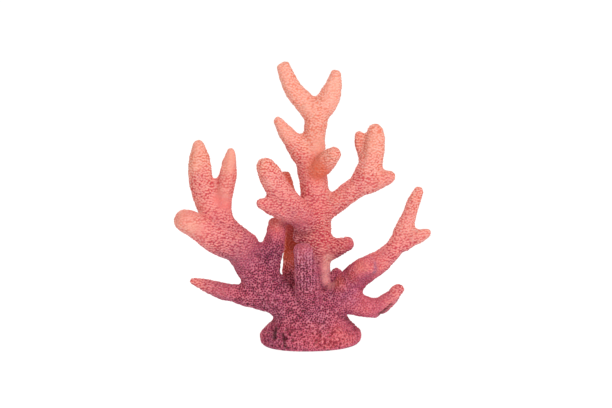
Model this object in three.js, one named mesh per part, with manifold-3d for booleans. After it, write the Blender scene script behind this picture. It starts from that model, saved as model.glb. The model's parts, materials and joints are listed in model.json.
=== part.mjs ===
// A small branching coral colony, cleaned and dried, standing on the flared foot by which it
// grew on rock. It is one skeleton, parted here at its main forks, so that each limb is a piece
// of its own and meets the limb that carries it across a thin saw cut.
//
// Millimetres, +Z up, front towards -Y. The origin is the middle of the foot's flat underside.

import * as THREE from "three";
import { mergeVertices } from "three/addons/utils/BufferGeometryUtils.js";
import Module from "manifold-3d";

const wasm = await Module();
wasm.setup();

// ---- Driving dimensions ----------------------------------------------------------------------

const FOOT_HALF_WIDTH = 26.2; // along X, where the foot is widest
const FOOT_DEPTH_SHARE = 0.8; // its depth along Y, as a share of its width
const FOOT_SIDES = 32;
const WAIST_HEIGHT = 14; // the neck between the foot and the limbs
const CORE_HEIGHT = 27; // the knot of growth above the waist, where the limbs start

const SAW_GAP = 0.3; // left open between two pieces at a fork
const SAW_STEP = 0.5; // how finely the place of a cut is searched
const CLEAR_VOLUME = 0.001; // mm3: less than this shared with a neighbour counts as clear

const SIDES = 12; // around a limb
const RING_SPACING = 4.9; // along a limb
const DOME_RINGS = 3; // that close a tip
const LUMPINESS = 0.05; // how far a limb's section strays from round, as a share of its radius

// How far a tip stands beyond the last station, as a share of its radius there.
const TIPS = { round: 1, blunt: 0.35, buried: 0 };

// Airbrushed colours: pale salmon at the top of the colony, mauve at its foot.
const COLONY_HEIGHT = 148;
const TIP_COLOUR = new THREE.Color("#f2a08c");
const MIDDLE_COLOUR = new THREE.Color("#d9646c");
const FOOT_COLOUR = new THREE.Color("#a04a5e");
const MIDDLE_SHARE = 0.42; // of the height, where the middle colour is reached

// ---- The limbs -------------------------------------------------------------------------------
// Each limb follows stations along its axis, root first, as [x, y, z, radius]. Its root is
// buried in the limb that it grows from. "twigs" are short side growths that stay on the limb.

const LIMBS = [
  // The central stem, which carries the arms and the crown, with a tooth hanging on its left.
  {
    name: "trunk",
    from: "foot",
    tip: "buried",
    stations: [
      [1, 3, 16, 12],
      [2, 6, 28, 9.2],
      [2, 7, 40, 8.2],
      [2.5, 6.5, 51, 8],
      [2, 5.5, 62, 8.2],
      [2, 5, 71.5, 8.8],
      [1.5, 5, 77, 7.5],
    ],
    twigs: [
      {
        tip: "round",
        stations: [
          [0, 3, 66, 6],
          [-4.8, 1.5, 61.5, 4.4],
          [-7, 1, 56.5, 2.9],
        ],
      },
    ],
  },
  // A short spur on the stem's right side, with its end broken off.
  {
    name: "trunk_spur",
    from: "trunk",
    tip: "blunt",
    stations: [
      [3.5, 6, 48.5, 6.4],
      [10, 4.5, 49.6, 6],
      [15, 3, 51.6, 4.8],
      [20.8, 1.5, 53.9, 3.4],
    ],
  },
  // The stem above the right arm, up to the crown's fork, with a knob towards the front.
  {
    name: "upper_stem",
    from: "trunk",
    tip: "buried",
    stations: [
      [2, 5, 67.5, 8.2],
      [1.5, 5, 78, 7.8],
      [1, 4.5, 86.5, 7.3],
      [0.2, 4, 95.5, 7.7],
      [1, 4, 102.5, 6.5],
      [1.3, 4, 109, 5.8],
      [1.8, 3.5, 115.5, 6],
      [2.6, 3, 121.5, 6.3],
      [2, 3, 128, 5.4],
    ],
    twigs: [
      {
        tip: "round",
        stations: [
          [2, 2, 91.5, 5.6],
          [5.6, -3, 95.4, 5.5],
          [8.6, -7.5, 99.2, 5.1],
          [11.2, -11, 102.2, 4.1],
        ],
      },
    ],
  },
  {
    name: "crown_left",
    from: "upper_stem",
    tip: "blunt",
    stations: [
      [0.5, 3, 122.5, 5.8],
      [-4.6, 3, 128.4, 5.6],
      [-9.5, 2.5, 134.1, 5],
      [-12.4, 2, 140.5, 4.2],
      [-14.9, 1.5, 147.2, 3.6],
    ],
  },
  {
    name: "crown_right",
    from: "upper_stem",
    tip: "round",
    stations: [
      [3.5, 3, 122.5, 6],
      [7.8, 3, 127.6, 6.2],
      [10.8, 2.5, 134, 5.4],
      [11.8, 2, 139.5, 3.9],
      [12.4, 1.5, 142, 3],
    ],
  },
  {
    name: "side_twig",
    from: "upper_stem",
    tip: "round",
    stations: [
      [-1.8, 4, 97.6, 7],
      [-6.3, 3.5, 103, 6.1],
      [-11.5, 2.5, 109.1, 4.6],
      [-15, 1.5, 114.4, 3.4],
      [-17.5, 1, 118, 2.5],
    ],
  },
  // The arm on the right, which ends in a stub and carries a thick upright finger.
  {
    name: "right_arm",
    from: "trunk",
    tip: "round",
    stations: [
      [2.5, 4, 69.5, 6.8],
      [9, 3, 72.6, 6.3],
      [15, 2, 76.6, 5.6],
      [20, 1, 80.8, 5.7],
      [26, 0, 84.5, 5.5],
      [31.5, -1, 86.2, 5.2],
      [36.4, -2, 88.1, 4.7],
      [39.8, -2.5, 89.2, 3.8],
    ],
  },
  {
    name: "right_finger",
    from: "right_arm",
    tip: "round",
    stations: [
      [24.5, 0, 83, 5.8],
      [28.8, 0, 90.5, 6.8],
      [31.4, -0.5, 98, 6],
      [32.6, -1, 104, 5.3],
      [33.3, -1, 109.5, 5.1],
      [33.2, -1, 112.8, 4.3],
    ],
    twigs: [
      {
        tip: "round",
        stations: [
          [29.4, 1, 95, 3.6],
          [26.6, 2, 102, 2.9],
          [24.8, 2.5, 107, 3.1],
          [24.8, 2.5, 110, 2.9],
        ],
      },
    ],
  },
  // The thick finger that leans forward over the left side, with a small hooked stub under it.
  {
    name: "leaning_finger",
    from: "trunk",
    tip: "round",
    stations: [
      [-1.5, 0, 64.5, 7.6],
      [-6, -5, 70, 7.2],
      [-11.7, -10, 76.7, 6.7],
      [-17.6, -14, 85.5, 6.3],
      [-21.8, -17, 93.2, 5.9],
      [-23.4, -18, 96.6, 4.9],
    ],
  },
  {
    name: "hooked_stub",
    from: "leaning_finger",
    tip: "round",
    stations: [
      [-9, -8, 70.5, 5.2],
      [-16, -12, 73.1, 4.7],
      [-21.7, -14, 75.6, 4],
      [-25.8, -15.5, 77.4, 2.8],
    ],
  },
  // The short purple stump that stands in front of the stem.
  {
    name: "front_stump",
    from: "foot",
    tip: "blunt",
    stations: [
      [-1, -5, 16, 9],
      [-1.5, -10.5, 25.5, 7.4],
      [-2.2, -14.5, 35.5, 6.6],
      [-3.5, -17.5, 45.5, 5.8],
      [-4.7, -19.8, 55, 4.8],
    ],
  },
  // The heavy limb on the left, which ends in a forward thumb.
  {
    name: "left_limb",
    from: "foot",
    tip: "round",
    stations: [
      [-4, -2, 18, 11.5],
      [-15.6, -4, 25, 10.8],
      [-24.3, -6, 33, 8.9],
      [-31.6, -8, 43, 8.3],
      [-37.6, -9, 54.4, 10],
      [-44.8, -11, 57.6, 9.5],
      [-52, -14, 61.2, 8.2],
      [-58.6, -17, 65.6, 6.8],
      [-64.5, -20, 69, 6.3],
    ],
  },
  {
    name: "long_finger",
    from: "left_limb",
    tip: "round",
    stations: [
      [-43.4, -8, 60, 8],
      [-49.3, -8, 69, 7.3],
      [-54.6, -8, 77.5, 6.2],
      [-57.1, -8, 86, 6],
      [-57.7, -8, 94.5, 6],
      [-58, -8, 101, 5.2],
      [-58.4, -8, 105.8, 3.5],
    ],
  },
  {
    name: "short_finger",
    from: "long_finger",
    tip: "round",
    stations: [
      [-46.6, -8, 67.5, 5.4],
      [-46.2, -8, 75, 4.9],
      [-45.1, -8.5, 82, 4.6],
      [-43.7, -9, 89, 4.8],
      [-42.5, -9, 95, 4.2],
      [-42.1, -9, 100.3, 3.2],
      [-41.8, -9, 103.2, 2.2],
    ],
  },
  {
    name: "inner_finger",
    from: "left_limb",
    tip: "blunt",
    stations: [
      [-23.4, -6, 32.5, 7],
      [-22.6, -5.5, 41.5, 6],
      [-20.6, -4.5, 50.5, 5.9],
      [-19, -4, 57, 5.4],
      [-18.1, -3.5, 62.5, 4.7],
      [-17.9, -3, 66.5, 4.2],
    ],
  },
  {
    name: "low_left_spike",
    from: "left_limb",
    tip: "round",
    stations: [
      [-18, -4, 25, 8.5],
      [-26, -5, 26, 7.2],
      [-35, -6, 27.3, 5.8],
      [-42.5, -7, 28.7, 4.8],
      [-50.5, -8, 31.1, 4.2],
      [-57.6, -8.5, 33.8, 3],
      [-61.8, -9, 35.2, 1.7],
    ],
  },
  // The limb on the right, which thins to a long tip, with a cut-back stump on its front.
  {
    name: "right_limb",
    from: "foot",
    tip: "round",
    stations: [
      [5, -2, 18, 10.5],
      [14, -4.5, 26.5, 8],
      [20, -5.5, 33.5, 7.3],
      [26.5, -6, 39.3, 7],
      [33.6, -6, 43.8, 6.4],
      [39.6, -5, 48.4, 5.2],
      [44.8, -4, 53.8, 5.1],
      [48.1, -3, 61, 4.7],
      [50.3, -3, 67.5, 3.9],
      [52.4, -3, 74, 3.5],
      [54.6, -3, 79.5, 3.1],
      [56, -3, 82.2, 2.3],
    ],
    twigs: [
      {
        tip: "blunt",
        stations: [
          [22, -8, 37, 6],
          [26, -12, 42, 5.9],
          [30.8, -15.5, 45.8, 5],
        ],
      },
    ],
  },
  {
    name: "right_limb_stub",
    from: "right_limb",
    tip: "round",
    stations: [
      [47.3, -3.5, 54.7, 5.7],
      [52, -5, 57.5, 4.3],
      [56.5, -6, 58.7, 3.6],
      [60, -6.5, 60.1, 2.6],
    ],
  },
  {
    name: "low_right_spike",
    from: "right_limb",
    tip: "blunt",
    stations: [
      [11, -3, 22, 8.2],
      [19, -5.5, 23.5, 6.8],
      [26.5, -8, 21.8, 5.6],
      [33.5, -10, 21.2, 5.2],
      [39.5, -11, 25, 4.2],
      [43.5, -12, 29.6, 3.4],
      [46.2, -12.5, 33, 2.7],
    ],
  },
  // Two growths at the back: a slim tall one, and a low stub.
  {
    name: "back_limb",
    from: "foot",
    tip: "blunt",
    stations: [
      [-5, 5, 17, 8.8],
      [-8.8, 11, 27.5, 6.8],
      [-10.3, 15, 37.5, 5.3],
      [-10.2, 17, 49.5, 4.7],
      [-10.2, 18, 62, 4.2],
      [-11.3, 18, 74, 4.1],
      [-13.6, 17.5, 82.5, 3.9],
      [-14.9, 17, 87.9, 3.5],
    ],
  },
  {
    name: "rear_stub",
    from: "foot",
    tip: "round",
    stations: [
      [6, 5, 17, 9],
      [10.5, 11.5, 25.5, 6.4],
      [12.8, 16, 31, 4.7],
      [13.4, 17.5, 33.6, 3.4],
    ],
  },
];

// ---- Making a limb ---------------------------------------------------------------------------

// The closed mesh of a lathe or a bent lathe as a solid.
function solidOf(geometry) {
  geometry.deleteAttribute("normal");
  geometry.deleteAttribute("uv");
  const merged = mergeVertices(geometry, 1e-3);
  return new wasm.Manifold(
    new wasm.Mesh({
      numProp: 3,
      vertProperties: merged.attributes.position.array,
      triVerts: new Uint32Array(merged.index.array),
    }),
  );
}

// The line that a limb follows, with its radius at any share of its length.
function axisOf({ stations }) {
  const line = new THREE.CatmullRomCurve3(stations.map(([x, y, z]) => new THREE.Vector3(x, y, z)));
  const girth = new THREE.SplineCurve(stations.map(([, , , r], i) => new THREE.Vector2(i, r)));
  const radiusAt = (share) => girth.getPoint(line.getUtoTmapping(share)).y;
  return { line, radiusAt };
}

// The sections of a limb: rings along its axis, and then the shrinking rings of its tip.
function ringsOf(limb) {
  const { line, radiusAt } = axisOf(limb);
  const steps = Math.max(3, Math.round(line.getLength() / RING_SPACING));
  const frames = line.computeFrenetFrames(steps);
  const rings = [];
  const addRing = (i, radius, beyond) =>
    rings.push({
      centre: line.getPointAt(i / steps).addScaledVector(frames.tangents[i], beyond),
      across: frames.normals[i],
      up: frames.binormals[i],
      radius,
    });
  addRing(0, 0, 0);
  for (let i = 0; i <= steps; i++) addRing(i, radiusAt(i / steps), 0);
  const lastRadius = radiusAt(1);
  for (let i = 1; i <= DOME_RINGS; i++) {
    const angle = ((i / DOME_RINGS) * Math.PI) / 2;
    const radius = i === DOME_RINGS ? 0 : lastRadius * Math.cos(angle);
    addRing(steps, radius, lastRadius * TIPS[limb.tip] * Math.sin(angle));
  }
  return rings;
}

// A limb's section isn't quite round, and the lumps wind along it.
function lumpAt(angle, ring) {
  return 1 + (LUMPINESS * (Math.sin(2 * angle + 0.7 * ring) + Math.sin(3 * angle - 0.9 * ring))) / 2;
}

// A lathe turned around a straight axis, with each of its rings moved to its place on the limb.
function tubeOf(limb) {
  const rings = ringsOf(limb);
  const profile = rings.map((ring, i) => new THREE.Vector2(ring.radius, i));
  const lathe = new THREE.LatheGeometry(profile, SIDES);
  const place = lathe.attributes.position;
  const point = new THREE.Vector3();
  for (let i = 0; i < place.count; i++) {
    const number = Math.round(place.getY(i));
    const ring = rings[number];
    const across = place.getZ(i);
    const up = place.getX(i);
    const lump = lumpAt(Math.atan2(up, across), number);
    point.copy(ring.centre).addScaledVector(ring.across, across * lump);
    point.addScaledVector(ring.up, up * lump);
    place.setXYZ(i, point.x, point.y, point.z);
  }
  return solidOf(lathe);
}

function limbSolid(limb) {
  return (limb.twigs ?? []).reduce((solid, twig) => solid.add(tubeOf(twig)), tubeOf(limb));
}

// ---- The foot --------------------------------------------------------------------------------

// A flared pad with a lobed edge, a waist, and the knot of growth above it.
function footSolid() {
  const outline = [
    [0, 0],
    [FOOT_HALF_WIDTH - 1.6, 0],
    [FOOT_HALF_WIDTH - 0.4, 1.8],
    [FOOT_HALF_WIDTH, 5],
    [FOOT_HALF_WIDTH - 3, 9],
    [FOOT_HALF_WIDTH - 6.2, 12],
    [FOOT_HALF_WIDTH - 7.2, WAIST_HEIGHT],
    [FOOT_HALF_WIDTH - 7.2, WAIST_HEIGHT + 4],
    [FOOT_HALF_WIDTH - 10, CORE_HEIGHT - 4],
    [FOOT_HALF_WIDTH - 16, CORE_HEIGHT - 0.5],
    [0, CORE_HEIGHT],
  ];
  const lathe = new THREE.LatheGeometry(
    outline.map(([radius, height]) => new THREE.Vector2(radius, height)),
    FOOT_SIDES,
  );
  lathe.rotateX(Math.PI / 2);
  const place = lathe.attributes.position;
  for (let i = 0; i < place.count; i++) {
    const [x, y] = [place.getX(i), place.getY(i)];
    const angle = Math.atan2(y, x);
    const lobes =
      1 - 0.022 * Math.cos(angle) + 0.05 * Math.cos(2 * angle - 1) + 0.01 * Math.sin(5 * angle);
    place.setXY(i, x * lobes, y * lobes * FOOT_DEPTH_SHARE);
  }
  return solidOf(lathe);
}

// ---- Parting the colony at its forks ---------------------------------------------------------

const wholeLimbs = new Map([["foot", footSolid()]]);
for (const limb of LIMBS) wholeLimbs.set(limb.name, limbSolid(limb));

const childrenOf = (name) => LIMBS.filter((limb) => limb.from === name);
const familyOf = (name) => [name, ...childrenOf(name).flatMap((limb) => familyOf(limb.name))];

// The first square cut along a limb that leaves everything past it clear of the other limbs.
function sawCut(limb, solid) {
  const family = familyOf(limb.name);
  const others = [...wholeLimbs].filter(([name]) => !family.includes(name)).map(([, s]) => s);
  const neighbours = wasm.Manifold.union(others);
  const { line } = axisOf(limb);
  const length = line.getLength();
  for (let along = SAW_STEP; along < length; along += SAW_STEP) {
    const normal = line.getTangentAt(along / length);
    const height = normal.dot(line.getPointAt(along / length));
    const beyond = solid.trimByPlane(normal.toArray(), height + SAW_GAP);
    if (beyond.intersect(neighbours).volume() < CLEAR_VOLUME) {
      const stub = solid.trimByPlane(normal.clone().negate().toArray(), -height);
      return { beyond, stub, root: line.getPointAt(along / length) };
    }
  }
  throw new Error(limb.name + " never comes clear of its neighbours");
}

// Takes every branch off a limb, and leaves on it the short root of each.
const pieces = new Map();
function part(name) {
  let solid = wholeLimbs.get(name);
  for (const branch of childrenOf(name)) {
    const { beyond, stub, root } = sawCut(branch, part(branch.name));
    pieces.set(branch.name, { solid: beyond, root, branches: childrenOf(branch.name) });
    solid = solid.add(stub);
  }
  return solid;
}
pieces.set("foot", {
  solid: part("foot"),
  root: new THREE.Vector3(),
  branches: childrenOf("foot"),
});

// ---- The scene graph -------------------------------------------------------------------------

// The colour at a height above the foot's underside.
function colourAt(height) {
  const share = THREE.MathUtils.clamp(height / COLONY_HEIGHT, 0, 1);
  return share < MIDDLE_SHARE
    ? FOOT_COLOUR.clone().lerp(MIDDLE_COLOUR, share / MIDDLE_SHARE)
    : MIDDLE_COLOUR.clone().lerp(TIP_COLOUR, (share - MIDDLE_SHARE) / (1 - MIDDLE_SHARE));
}

// A piece as a mesh whose own origin is its root, in a group that also holds its branches.
function pieceGroup(name, parentRoot) {
  const { solid, root, branches } = pieces.get(name);
  const { numProp, numVert, vertProperties, triVerts } = solid.getMesh();
  const positions = new Float32Array(numVert * 3);
  for (let i = 0; i < numVert; i++) {
    positions.set(vertProperties.subarray(i * numProp, i * numProp + 3), i * 3);
  }
  const geometry = new THREE.BufferGeometry();
  geometry.setAttribute("position", new THREE.BufferAttribute(positions, 3));
  geometry.setIndex(new THREE.BufferAttribute(triVerts, 1));
  geometry.computeBoundingBox();
  const middle = geometry.boundingBox.getCenter(new THREE.Vector3()).z;
  geometry.translate(-root.x, -root.y, -root.z);
  geometry.computeVertexNormals();
  const material = new THREE.MeshStandardMaterial({
    color: colourAt(middle),
    roughness: 0.78,
    metalness: 0,
  });
  const mesh = new THREE.Mesh(geometry, material);
  mesh.name = name;
  const group = new THREE.Group();
  group.position.copy(root).sub(parentRoot);
  group.add(mesh, ...branches.map((branch) => pieceGroup(branch.name, root)));
  return group;
}

const coral = pieceGroup("foot", new THREE.Vector3());

export default coral;
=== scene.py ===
import json
import math

import bmesh
import bpy
import numpy as np
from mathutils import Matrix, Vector
from mathutils.bvhtree import BVHTree

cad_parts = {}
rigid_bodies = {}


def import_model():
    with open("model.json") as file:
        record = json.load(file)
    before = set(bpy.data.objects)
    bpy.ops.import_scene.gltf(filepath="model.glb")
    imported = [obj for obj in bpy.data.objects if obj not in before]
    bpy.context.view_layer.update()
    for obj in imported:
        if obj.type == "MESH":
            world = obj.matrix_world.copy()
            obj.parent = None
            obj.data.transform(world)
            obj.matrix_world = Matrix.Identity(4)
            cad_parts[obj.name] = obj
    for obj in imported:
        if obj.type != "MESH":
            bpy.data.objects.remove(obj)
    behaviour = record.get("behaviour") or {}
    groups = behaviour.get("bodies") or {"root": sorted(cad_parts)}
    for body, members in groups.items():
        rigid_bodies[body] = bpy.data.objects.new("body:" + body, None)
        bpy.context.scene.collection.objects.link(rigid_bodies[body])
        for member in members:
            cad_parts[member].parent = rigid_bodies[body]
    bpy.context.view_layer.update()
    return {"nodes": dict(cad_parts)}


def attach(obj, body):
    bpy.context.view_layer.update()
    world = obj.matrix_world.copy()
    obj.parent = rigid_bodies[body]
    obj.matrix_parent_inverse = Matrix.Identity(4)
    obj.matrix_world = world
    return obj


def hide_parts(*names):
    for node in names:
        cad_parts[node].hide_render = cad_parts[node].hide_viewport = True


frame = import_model()

# ---- The bare skeleton -----------------------------------------------------------------------
# The coral grew as one body of lime, so its limbs flow into each other with rounded crotches.
# The plain limbs of the frame are grown together across their saw cuts, the crotches are
# filled to a small radius, and the whole is rounded until no facet is left.

MM = 0.001
CUT_CLOSING = 0.2 * MM  # swells the limbs until the saw cuts between them are shut
CROTCH_RADIUS = 0.8 * MM
ROUGH_GRID = 0.7 * MM
FINE_GRID = 0.3 * MM  # the pits are twice as wide as this

skeleton = bmesh.new()
for node in frame["nodes"].values():
    skeleton.from_mesh(node.data)
bmesh.ops.remove_doubles(skeleton, verts=skeleton.verts, dist=0.001 * MM)
coral_mesh = bpy.data.meshes.new("coral")
skeleton.to_mesh(coral_mesh)
skeleton.free()
coral = bpy.data.objects.new("coral", coral_mesh)
bpy.context.scene.collection.objects.link(coral)


def modify(kind, **settings):
    modifier = coral.modifiers.new(kind.lower(), kind)
    for name, value in settings.items():
        setattr(modifier, name, value)
    return modifier


def apply_modifiers():
    """Makes the coral's mesh what its modifiers show, and drops them."""
    graph = bpy.context.evaluated_depsgraph_get()
    made = bpy.data.meshes.new_from_object(coral.evaluated_get(graph))
    coral.modifiers.clear()
    coral.data = made
    return made


modify("DISPLACE", strength=CUT_CLOSING, mid_level=0)
modify("REMESH", mode="VOXEL", voxel_size=ROUGH_GRID, use_smooth_shade=True)
modify("DISPLACE", strength=CROTCH_RADIUS, mid_level=0)
modify("REMESH", mode="VOXEL", voxel_size=ROUGH_GRID, use_smooth_shade=True)
modify("DISPLACE", strength=-(CROTCH_RADIUS + CUT_CLOSING / 2), mid_level=0)
modify("SMOOTH", factor=0.5, iterations=10)
modify("REMESH", mode="VOXEL", voxel_size=FINE_GRID, use_smooth_shade=True)
modify("SMOOTH", factor=0.5, iterations=6)
coral_mesh = apply_modifiers()

limb_names = list(frame["nodes"])
walls = [frame["nodes"][name].data for name in limb_names]
corners = [v.co for wall in walls for v in wall.vertices]  # three to a triangle
faces = [(i, i + 1, i + 2) for i in range(0, len(corners), 3)]
nearest_wall = BVHTree.FromPolygons(corners, faces)
limb_of_face = [limb for limb, wall in enumerate(walls) for _ in wall.polygons]
nearest_limb = [limb_of_face[nearest_wall.find_nearest(f.center)[2]] for f in coral_mesh.polygons]
coral_mesh.attributes.new("limb", "INT", "FACE").data.foreach_set("value", nearest_limb)

# ---- Pits and grains -------------------------------------------------------------------------
# Every polyp left a cup in the lime. Low on the coral the cups are open pits with sharp walls
# between them; higher up they are sealed by grains of lime that stand proud. On the foot they
# are coarser, and drawn out up and down. They are spread evenly but in no pattern, as grown.

CUPS = {
    # name: (spacing, the stretch of its pattern across and up when measured, seed)
    "pit": (1.05 * MM, (1.0, 1.0), 3),
    "grain": (1.15 * MM, (0.8, 1.15), 5),
    "coarse": (2.0 * MM, (1.0, 0.65), 8),
}
# waves in a metre
NOISES = {"patch": 75, "swell": 130, "wander": 330, "crinkle": 800, "grit": 1500}


def add_node(tree, kind, inputs=None, **settings):
    """Adds a node. An input, by name or number, takes a value, an output, or a node's first one."""
    node = tree.nodes.new(kind)
    for name, value in settings.items():
        setattr(node, name, value)
    for key, value in (inputs or {}).items():
        socket = next(s for i, s in enumerate(node.inputs) if s.enabled and key in (i, s.name))
        if isinstance(value, bpy.types.Node):
            value = next(s for s in value.outputs if s.enabled)
        if isinstance(value, bpy.types.NodeSocket):
            tree.links.new(value, socket)
        else:
            socket.default_value = value
    return node


cups = bpy.data.node_groups.new("cups", "GeometryNodeTree")
cups.interface.new_socket("Geometry", in_out="INPUT", socket_type="NodeSocketGeometry")
cups.interface.new_socket("Geometry", in_out="OUTPUT", socket_type="NodeSocketGeometry")
surface = bare = cups.nodes.new("NodeGroupInput")
place = add_node(cups, "GeometryNodeInputPosition")
measures = {}
for name, (spacing, (across, up), seed) in CUPS.items():
    centres = add_node(
        cups,
        "GeometryNodeDistributePointsOnFaces",
        {"Mesh": bare, "Distance Min": spacing, "Density Max": 6 / spacing**2, "Seed": seed},
        distribute_method="POISSON",
    )
    squeezed = add_node(
        cups, "ShaderNodeVectorMath", {0: place, 1: (across, across, up)}, operation="MULTIPLY"
    )
    moved = add_node(
        cups, "GeometryNodeSetPosition", {"Geometry": centres, "Position": squeezed}
    )
    nearest = add_node(
        cups,
        "GeometryNodeProximity",
        {"Geometry": moved, "Sample Position": squeezed},
        target_element="POINTS",
    )
    measures[name] = nearest.outputs["Distance"]
for name, scale in NOISES.items():
    measures[name] = add_node(
        cups, "ShaderNodeTexNoise", {"Vector": place, "Scale": scale, "Detail": 2.0}
    )
for name, value in measures.items():
    surface = add_node(
        cups,
        "GeometryNodeStoreNamedAttribute",
        {"Geometry": surface, "Name": name, "Value": value},
        data_type="FLOAT",
        domain="POINT",
    )
add_node(cups, "NodeGroupOutput", {0: surface})
modify("NODES", node_group=cups)
coral_mesh = apply_modifiers()


def read(source, name, width=1):
    """A vertex attribute of a mesh as an array."""
    values = np.zeros(len(source) * width, np.float32)
    source.foreach_get(name, values)
    return values.reshape(-1, width) if width > 1 else values


def smooth_step(low, high, values):
    share = np.clip((values - low) / (high - low), 0, 1)
    return share * share * (3 - 2 * share)


points = read(coral_mesh.vertices, "co", 3)
normals = read(coral_mesh.vertex_normals, "vector", 3)
height = points[:, 2] / MM
fields = {name: read(coral_mesh.attributes[name].data, "value") for name in measures}


def around(centre, full, gone, flatten=(1, 1, 1)):
    """1 within a distance of a place on the coral, fading to 0 at a longer one, all in mm."""
    return 1 - smooth_step(full, gone, np.linalg.norm((points / MM - centre) * flatten, axis=1))


def streak(start, end, full, gone, flatten=(1, 0.25, 1)):
    """The same along a straight line between two places, mostly as seen from the front."""
    start, line = np.array(start), np.subtract(end, start)
    share = np.clip((points / MM - start) @ line / (line @ line), 0, 1)
    beside = (points / MM - start - share[:, None] * line) * flatten
    return 1 - smooth_step(full, gone, np.linalg.norm(beside, axis=1))


KNOT = (-4, 0, 22)  # mm; the limbs leave from this knot of growth
ROW_SPACING = 1.4  # mm; the grains lie in slanting rows
ROW_SLANT = 0.36
RIDGE_SPACING = 1.7  # mm; the front stump's pits lie in upright furrows

rightward = points[:, 0] / MM
knot_reach = np.linalg.norm(points / MM - KNOT, axis=1)
on_foot = 1 - smooth_step(9, 15, height)
on_trunk = around((4, 4, 58), 13, 24)
on_stump = around((-3, -18, 44), 10, 16)
rosette = around((-20, -14, 25), 3.5, 7)  # a knot of coarse cups beside the stump
knob_shadow = around((4, -5, 94), 2, 10, (1, 0.6, 0.85))
patchy = smooth_step(0.36, 0.6, fields["patch"])
# a paler strip of stem between the front stump and the right limb, partly painted light where the
# limbs above shade it
pale_strip = streak((9, -3, 45), (8.5, -6, 35), 0.5, 6)
pale_strip *= 1 - 0.4 * smooth_step(0.42, 0.62, fields["crinkle"])
# the tips and sides whose grains are rubbed down
smooth = np.maximum.reduce([
    0.4 * smooth_step(80, 100, knot_reach),
    streak((-44, -9, 80), (-42, -9, 103), 6, 9, (1, 1, 1)),
    0.7 * around((-62, -18, 69), 6, 12),
    around((6, -2, 108), 5, 11),
    around((39, -2, 88), 5, 9),
    knob_shadow,
])
# single marks: a slit in the low right spike, a scar on the right limb, the fold behind the
# front stump, and two deep slots in the foot
slit = streak((36, -14, 18), (41.5, -15.5, 23.5), 0.5, 1.9)
scar = streak((33.2, -19, 47), (32.6, -19, 41.5), 0.5, 1.7)
crease = streak((11.5, -6, 43), (10, -10, 27), 0.6, 2.4)
slot = np.maximum(
    streak((-19.3, -12, 11), (-20, -12, 6), 0.5, 1.7),
    streak((-14.6, -16, 7), (-14, -16, 2), 0.5, 1.7),
)

coarse = np.maximum(on_foot, 0.8 * rosette)
pitted = 1 - 0.5 * smooth_step(32, 50, knot_reach) - 0.5 * smooth_step(50, 85, knot_reach)
pitted *= (1 - 0.85 * on_trunk) * (1 - pale_strip)
pitted *= 1 - 0.3 * smooth_step(6, 24, rightward)  # sparser on the right
pitted *= 1 - 0.25 * coarse
grainy = np.maximum(0.2 + 0.8 * smooth_step(34, 58, knot_reach), on_trunk)
grainy *= 1 - 0.75 * pale_strip
grainy *= 1 - smooth * (0.85 - 0.6 * patchy)

wander = fields["wander"] - 0.5
crinkle = fields["crinkle"] - 0.5
from_pit = fields["pit"] / MM + 0.7 * wander + 0.8 * crinkle
ridge = np.cos((rightward + 1.5 * wander) * 2 * math.pi / RIDGE_SPACING)
from_pit += 0.16 * ridge * on_stump
pit = pitted * (1 - smooth_step(0.32, 0.6, from_pit))
crest = pitted * smooth_step(0.55, 0.8, from_pit)  # the walls midway between pits, later painted pale as highlights
from_hole = fields["coarse"] / MM + 2.2 * wander + 1.6 * crinkle - 0.35 * (patchy - 0.6)
hole = coarse * (1 - smooth_step(0.2, 0.75, from_hole))
knob = 1 - smooth_step(0.42, 0.75, fields["grain"] / MM + 0.3 * wander + 1.1 * crinkle)
row = np.cos((height + ROW_SLANT * rightward + 2.2 * wander) * 2 * math.pi / ROW_SPACING)
grain = knob * (0.8 - 0.15 * on_trunk + (0.2 + 0.15 * on_trunk) * row)
cup = np.maximum.reduce([pit, hole, slit, slot, scar * (0.4 + 2 * crinkle)]).clip(0, 1)
gap = grainy * (1 - grain) * (1 - cup)  # the creases between grains

# how far each thing lifts or sinks the surface, in mm
SWELL_LIFT, WANDER_LIFT, CRINKLE_LIFT, GRIT_LIFT = 1.4, 0.9, 0.3, 0.2
PIT_DEPTH, HOLE_DEPTH, SLOT_DEPTH, CREASE_DEPTH = 0.45, 0.8, 0.9, 0.5
GRAIN_HEIGHT, TRUNK_GRAIN_EXTRA = 0.3, 0.2
CUT_HEIGHT = 0.3  # mm; all below it is the cut underside, which stays flat
EASED_HEIGHT = 1.2

rise = (
    SWELL_LIFT * (fields["swell"] - 0.5)
    + WANDER_LIFT * wander
    + CRINKLE_LIFT * crinkle
    + GRIT_LIFT * (fields["grit"] - 0.5)
    - PIT_DEPTH * pit
    - HOLE_DEPTH * hole
    - SLOT_DEPTH * (slit + slot)
    - CREASE_DEPTH * crease
    + (GRAIN_HEIGHT + TRUNK_GRAIN_EXTRA * on_trunk) * grainy * (grain - 0.5)
)
rise *= smooth_step(0, EASED_HEIGHT, height)
points += normals * (rise * MM)[:, None]
points[:, 2] = np.where(height < CUT_HEIGHT, 0, points[:, 2])
coral_mesh.vertices.foreach_set("co", points.ravel())
for name in fields:
    coral_mesh.attributes.remove(coral_mesh.attributes[name])
coral_mesh.update()

# ---- The airbrushed lime ---------------------------------------------------------------------
# Cleaned coral lime, tinted with an airbrush: mauve round the foot, rose and then salmon further
# out, and pale at the tips, with violet on the stump. Dye lies dark in the cups. Painted shade is
# added: darker, more mauve undersides low down, orange on the back limb and in the forks right of
# the front stump where they lie in shade, orange in the knob's shadow on the stem, and darker in
# the fold behind the front stump and on the foot's left front. Painted highlights pale the crests
# between pits, and painted light pales the inner finger's top and the strip beside the front stump.
# It is matt, and light sinks a little way into it.

FADE_LENGTH = 120  # mm from the knot of growth to bare lime
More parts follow.
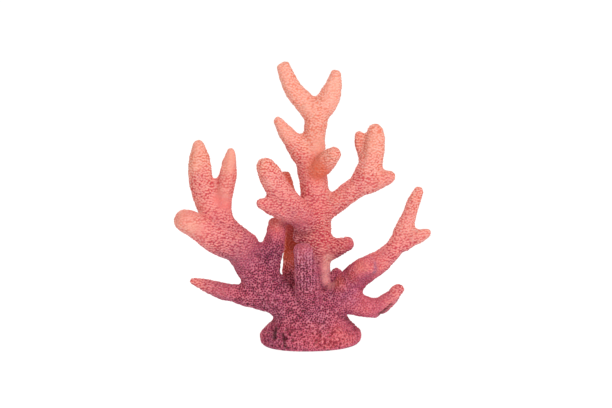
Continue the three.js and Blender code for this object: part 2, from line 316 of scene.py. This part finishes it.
# extra passes of the airbrush: (centre and radius in mm, strength, where + is more mauve and
# - is paler); one is painted shade and one painted light, as marked
PASSES = [
    ((-22, -8, 38), 24, 0.12),
    ((-8, -6, 66), 13, 0.04),
    ((28, -12, 30), 14, 0.08),
    ((6, 0, 55), 22, -0.24),
    ((-20, -14, 25), 7, -0.12),
    # painted shade: the foot's left front, round its slots, made darker and more mauve
    ((-20, -14, 5), 13, 0.15),
    ((26, -10, 24), 16, -0.14),
    ((32, -6, 42), 13, -0.1),
    ((2, -16, 10), 24, -0.13),
    ((-50, -12, 66), 18, 0.15),
    ((-20, -10, 50), 10, 0.24),
    # painted light: the inner finger's top, which the leaning finger shades, made paler
    ((-18, -8, 65), 7, -0.16),
    ((-30, -10, 47), 13, 0.16),
    ((12, 0, 76), 20, -0.12),
    ((46, -4, 62), 26, -0.04),
    ((18, -14, 8), 16, -0.12),
    ((25, -16, 44), 7, -0.16),
    ((10, -10, 101), 8, -0.2),
    ((3, 0, 108), 12, -0.17),
    ((-38, -10, 52), 17, 0.2),
    ((-45, -8, 33), 18, 0.08),
    ((-56, -8, 88), 20, 0.12),
]
# and of a cooler violet, on the stump and in some forks
VIOLET_PASSES = [
    ((-4, -19, 50), 13, 0.65),
    ((-2, -19, 38), 9, 0.45),
    ((-3.5, -5, 64), 5, 0.25),
    ((20, -11, 27), 10, 0.3),
    ((-20, -14, 25), 8, 0.25),
    ((4, -16, 15), 12, 0.25),
]
PAINTED_UNDERSIDE_SHADE = 0.14  # painted shade: undersides made darker and more mauve
SWELL_SHIFT = 0.25  # how far the coral's unevenness shifts the fade
STRIP_SHADE = 0.58
# painted warm shade: orange where the lime lies in shade, on the back limb and in the forks right
# of the front stump
WARM_SHADE_PATCHES = [
    ((-11, 19, 48), 20, 0.9),
    ((-13, 19, 78), 24, 0.7),
    ((15, -9, 34), 7, 0.35),
    ((22, -13, 39), 6, 0.3),
]

shade = knot_reach / FADE_LENGTH + SWELL_SHIFT * (fields["swell"] - 0.5)
for centre, radius, strength in PASSES:
    shade -= strength * around(centre, 0, radius)
# painted shade: low on the coral, surfaces that face down are made darker and more mauve
facing_down = smooth_step(0.1, 0.9, -normals[:, 2])
shade -= PAINTED_UNDERSIDE_SHADE * facing_down * (1 - smooth_step(45, 62, height))
# the strip is paler lime, lifted further by painted light where the limbs above shade it; painted
# shade darkens the fold behind the front stump and the knob's shadow on the stem
shade += 0.9 * pale_strip * (STRIP_SHADE - shade) - 0.12 * crease - 0.08 * knob_shadow
# painted shadow: the knob's shadow on the stem is painted orange, with painted warm shade added
# below
orange, violet = 0.65 * knob_shadow, 0.8 * scar
for centre, radius, strength in WARM_SHADE_PATCHES:
    orange = np.maximum(orange, strength * around(centre, 0, radius))
for centre, radius, strength in VIOLET_PASSES:
    violet = np.maximum(violet, strength * around(centre, 0, radius))
violet *= 1 - pale_strip
faded = 0.5 * smooth_step(50, 75, knot_reach) * (1 - patchy)  # the stain in the creases
measured = {
    "shade": shade,
    "dye": np.maximum(cup, (1 - faded) * gap),
    # paler where grain tops are rubbed, with painted highlights on the crests and painted light on
    # the pale strip
    "wear_and_highlight": np.maximum.reduce([0.9 * grainy * grain, 0.62 * crest, 1.6 * pale_strip]),
    "orange": orange,
    "violet": violet,
}
for name, values in measured.items():
    attribute = coral_mesh.attributes.new(name, "FLOAT", "POINT")
    attribute.data.foreach_set("value", values.astype(np.float32))

# along the fade, from the foot to the tips: the lime itself, and the dye in its cups
WALL_COLOURS = {
    0.0: "#a8406a",
    0.2: "#be4c70",
    0.36: "#d46479",
    0.48: "#e47c78",
    0.6: "#e08c84",
    0.74: "#e5a08f",
    0.95: "#e7a694",
}
DYE_COLOURS = {
    0.0: "#4a0424",
    0.25: "#600828",
    0.4: "#981f38",
    0.5: "#b8344a",
    0.62: "#c84e50",
    0.75: "#d46a56",
    0.95: "#de806a",
}
# the pale pink of rubbed grain tops, also used for the painted highlights
BARE_AND_HIGHLIGHT_LIME = "#ffd9cf"
WEAR_AND_HIGHLIGHT_PALENESS = 0.3  # how pale the rubbed grain tops are made, and the painted highlights on the crests and the pale strip
# the colour of the painted warm shade
WARM_SHADE_ORANGE = "#de6836"
VIOLET_LIME = "#a06a90"


def linear(hex_colour):
    """An sRGB hex colour as linear red, green, blue and alpha."""
    parts = [int(hex_colour[i : i + 2], 16) / 255 for i in (1, 3, 5)]
    return [p / 12.92 if p <= 0.04045 else ((p + 0.055) / 1.055) ** 2.4 for p in parts] + [1]


lime = bpy.data.materials.new("airbrushed_lime")
lime.use_nodes = True
tree = lime.node_tree
place = add_node(tree, "ShaderNodeTexCoord").outputs["Object"]
painted = {
    name: add_node(tree, "ShaderNodeAttribute", attribute_name=name).outputs["Fac"]
    for name in measured
}
speckle = add_node(tree, "ShaderNodeTexNoise", {"Vector": place, "Scale": 1700.0, "Detail": 3.0})
uneven = add_node(tree, "ShaderNodeMapRange", {"Value": speckle, "To Min": -0.1, "To Max": 0.1})
fade = add_node(tree, "ShaderNodeMath", {0: painted["shade"], 1: uneven}, operation="ADD")
colours = []
for stops in (WALL_COLOURS, DYE_COLOURS):
    ramp = add_node(tree, "ShaderNodeValToRGB", {"Fac": fade})
    elements = ramp.color_ramp.elements
    while len(elements) < len(stops):
        elements.new(1)
    for element, (stop, hex_colour) in zip(elements, stops.items()):
        element.position = stop
        element.color = linear(hex_colour)
    colours.append(ramp)
wear_and_highlight = add_node(
    tree, "ShaderNodeMath", {0: painted["wear_and_highlight"], 1: WEAR_AND_HIGHLIGHT_PALENESS}, operation="MULTIPLY"
)
colour = colours[0]
for share, over in (
    (painted["violet"], linear(VIOLET_LIME)),
    (painted["dye"], colours[1]),
    (painted["orange"], linear(WARM_SHADE_ORANGE)),
    (wear_and_highlight, linear(BARE_AND_HIGHLIGHT_LIME)),
):
    layers = {"Factor": share, "A": colour, "B": over}
    colour = add_node(tree, "ShaderNodeMix", layers, data_type="RGBA")
grit = add_node(tree, "ShaderNodeTexNoise", {"Vector": place, "Scale": 2200.0, "Detail": 2.0})
rough = add_node(
    tree, "ShaderNodeBump", {"Strength": 0.35, "Distance": 0.12 * MM, "Height": grit}
)
shader = next(n for n in tree.nodes if n.type == "BSDF_PRINCIPLED")
tree.links.new(next(s for s in colour.outputs if s.enabled), shader.inputs["Base Color"])
tree.links.new(rough.outputs["Normal"], shader.inputs["Normal"])
shader.inputs["Roughness"].default_value = 0.62
shader.inputs["IOR"].default_value = 1.45
shader.inputs["Specular IOR Level"].default_value = 0.15
shader.inputs["Subsurface Weight"].default_value = 0.15
shader.inputs["Subsurface Radius"].default_value = (1.0, 0.3, 0.15)
shader.inputs["Subsurface Scale"].default_value = 1.5 * MM

# ---- The limbs, parted at the forks ----------------------------------------------------------
# Each limb is its own piece. The coral is parted where one limb of the frame gives way to the
# next, and each piece is closed there, so that the pieces meet and the coral looks whole.

body = bmesh.new()
body.from_mesh(coral_mesh)
limb_of = body.faces.layers.int["limb"]


def patches():
    """The stretches of surface that belong to one limb each, the largest first."""
    found, left = [], set(body.faces)
    while left:
        patch = [left.pop()]
        for face in patch:
            for edge in face.edges:
                for beside in edge.link_faces:
                    if beside in left and beside[limb_of] == face[limb_of]:
                        left.remove(beside)
                        patch.append(beside)
        found.append(patch)
    return sorted(found, key=len, reverse=True)


whole = set()
for patch in patches():
    inside = set(patch)
    beside = [g for f in patch for e in f.edges for g in e.link_faces if g not in inside]
    limb = patch[0][limb_of]
    if not beside:
        bmesh.ops.delete(body, geom=patch, context="FACES")
    elif limb in whole:
        for face in patch:
            face[limb_of] = beside[0][limb_of]
    whole.add(limb)
forks = [e for e in body.edges if len({f[limb_of] for f in e.link_faces}) > 1]
bmesh.ops.split_edges(body, edges=forks)
body.to_mesh(coral_mesh)
body.free()
coral_mesh.materials.append(lime)
for thing in bpy.context.scene.objects:
    thing.select_set(thing == coral)
bpy.context.view_layer.objects.active = coral
bpy.ops.mesh.separate(type="LOOSE")

for part in list(bpy.context.selected_objects):
    limb = bmesh.new()
    limb.from_mesh(part.data)
    limb.faces.ensure_lookup_table()
    name = limb_names[limb.faces[0][limb.faces.layers.int["limb"]]]
    rims = [e for e in limb.edges if e.is_boundary]
    for rim in rims:
        rim.smooth = False
    ends = bmesh.ops.edgeloop_fill(limb, edges=rims)["faces"]
    closed = bmesh.ops.poke(limb, faces=ends)["faces"]
    for face in closed:
        face.smooth = False
    bmesh.ops.recalc_face_normals(limb, faces=limb.faces)
    limb.to_mesh(part.data)
    limb.free()
    part.data.attributes.remove(part.data.attributes["limb"])
    part.name = part.data.name = "coral_" + name
    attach(part, "root")
    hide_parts(name)

# ---- The table and the light -----------------------------------------------------------------
# A plain white table, a little lit from within, a large soft light high on the right, another
# behind on the left, and warm white surroundings that fill the shadows.

TABLE_REACH = 9  # metres, so that its edge is out of sight

floor_mesh = bmesh.new()
bmesh.ops.create_grid(floor_mesh, x_segments=1, y_segments=1, size=TABLE_REACH)
table = bpy.data.meshes.new("table")
floor_mesh.to_mesh(table)
floor_mesh.free()
floor = bpy.data.objects.new("table", table)
bpy.context.scene.collection.objects.link(floor)
white = bpy.data.materials.new("white_acrylic")
white.use_nodes = True
glow = next(n for n in white.node_tree.nodes if n.type == "BSDF_PRINCIPLED")
glow.inputs["Base Color"].default_value = linear("#404040")
glow.inputs["Roughness"].default_value = 0.7
glow.inputs["Emission Color"].default_value = linear("#ffffff")
glow.inputs["Emission Strength"].default_value = 0.97
table.materials.append(white)


def soft_light(name, position, size, power):
    """A round light, in metres and watts, that faces the middle of the coral."""
    light = bpy.data.lights.new(name, "AREA")
    light.shape = "DISK"
    light.size = size
    light.energy = power
    lamp = bpy.data.objects.new(name, light)
    lamp.location = position
    lamp.rotation_euler = (Vector((0, 0, 0.07)) - lamp.location).to_track_quat("-Z", "Y").to_euler()
    bpy.context.scene.collection.objects.link(lamp)


soft_light("key", (0.32, -0.8, 0.64), 0.45, 6)
soft_light("back", (-0.45, 0.75, 0.55), 0.5, 4)

world = bpy.data.worlds.new("studio")
world.use_nodes = True
world.node_tree.nodes["Background"].inputs["Color"].default_value = linear("#ffe4d6")
world.node_tree.nodes["Background"].inputs["Strength"].default_value = 0.6
bpy.context.scene.world = world
bpy.context.scene.view_settings.view_transform = "Standard"

# ---- The camera ------------------------------------------------------------------------------
# It stands well back and a little above the coral, and looks at the middle of its height.

CAMERA_DISTANCE = 0.89  # metres
CAMERA_ELEVATION = math.radians(9)
aim = Vector((-2.9 * MM, 0, 74.6 * MM))
back = Vector((0, -math.cos(CAMERA_ELEVATION), math.sin(CAMERA_ELEVATION)))
lens = bpy.data.cameras.new("camera")
lens.lens = 100
lens.sensor_width = 36
camera = bpy.data.objects.new("camera", lens)
camera.location = aim + back * CAMERA_DISTANCE
camera.rotation_euler = (-back).to_track_quat("-Z", "Y").to_euler()
bpy.context.scene.collection.objects.link(camera)
bpy.context.scene.camera = camera
